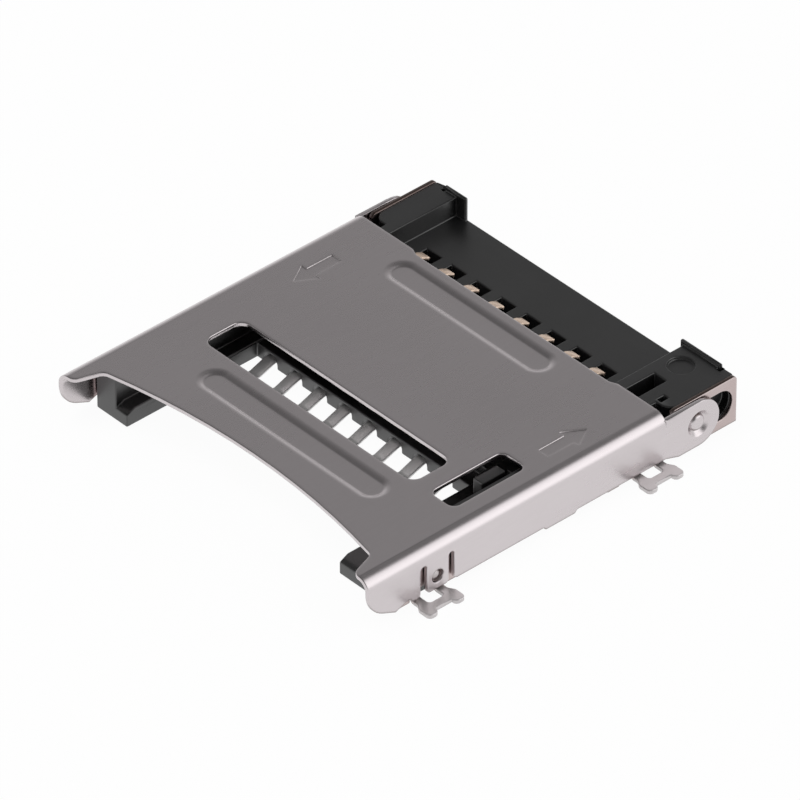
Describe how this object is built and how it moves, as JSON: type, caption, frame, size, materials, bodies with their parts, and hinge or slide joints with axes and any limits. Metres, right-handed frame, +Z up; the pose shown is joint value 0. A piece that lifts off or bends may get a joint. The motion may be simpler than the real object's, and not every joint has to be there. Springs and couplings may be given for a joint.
{
  "type": "hinged memory card connector",
  "caption": "Surface mount memory card connector with a hinged sheet metal cover, side brackets with solder tabs and a row of spring contacts in a black housing.",
  "frame": {"origin": "middle of the footprint, on the board's surface", "axes": "+X across the contact row, +Y from the card mouth to the hinge, +Z up from the board"},
  "size_m": [0.0152, 0.0148, 0.0019],
  "materials": {
    "cover": "satin stainless sheet",
    "bracket": "tin plated sheet",
    "housing": "black glass-filled moulding",
    "contact": "gold flash at the crest, tin at the foot"
  },
  "bodies": {
    "base": {"housing": "housing", "bracket_left": "bracket", "bracket_right": "bracket", "contact_1": "contact", "contact_2": "contact", "contact_3": "contact", "contact_4": "contact", "contact_5": "contact", "contact_6": "contact", "contact_7": "contact", "contact_8": "contact"},
    "cover": {"cover": "cover"}
  },
  "joints": [
    {"name": "cover_hinge", "type": "hinge", "parent": "base", "child": "cover", "pos_m": [0, 0.00578, 0.00086], "axis": [-1, 0, 0], "range_deg": [0, 100]}
  ]
}
